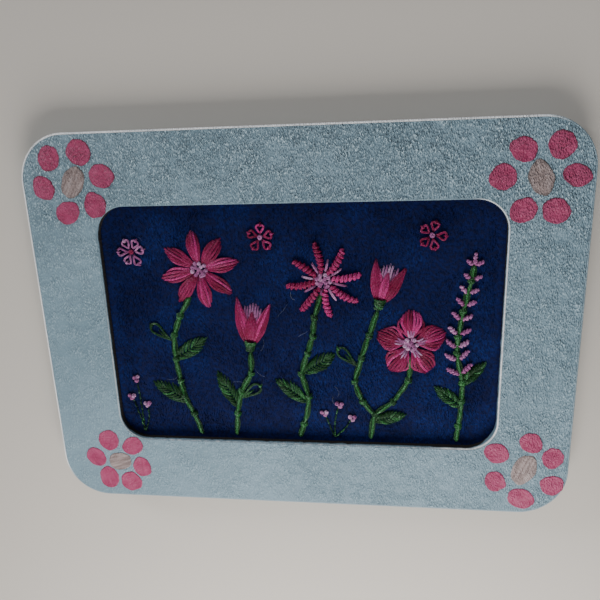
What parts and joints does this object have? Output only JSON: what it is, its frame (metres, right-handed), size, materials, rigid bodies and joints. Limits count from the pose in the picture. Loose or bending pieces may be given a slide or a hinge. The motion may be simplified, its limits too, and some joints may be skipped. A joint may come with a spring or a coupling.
{
  "type": "small framed velvet embroidery with its rounded painted wooden frame",
  "caption": "Small landscape wall or shelf picture: stitched flowers on velvet, set in the rounded window of a painted board frame with round corners, closed behind by a plain board",
  "frame": {"origin": "centre of the outline on the plane of the frame's back, which rests on the surface", "axes": "+X to the right of the picture along its longest side, +Y to the top edge of the picture, +Z out of its face"},
  "size_m": [0.203, 0.149, 0.009],
  "materials": {
    "painted_board": "hand painted matt over fibreboard, rolled stipple",
    "velvet": "short brushed nap",
    "hardboard": "raw pressed board",
    "magenta_thread": "stranded cotton, soft sheen",
    "lilac_thread": "stranded cotton, soft sheen",
    "green_thread": "stranded cotton, soft sheen",
    "pink_paint": "thick hand dabbed acrylic",
    "taupe_paint": "thick hand dabbed acrylic"
  },
  "bodies": {
    "root": {"frame_board": "painted_board", "velvet_ground": "velvet", "backing_board": "hardboard"}
  },
  "joints": []
}
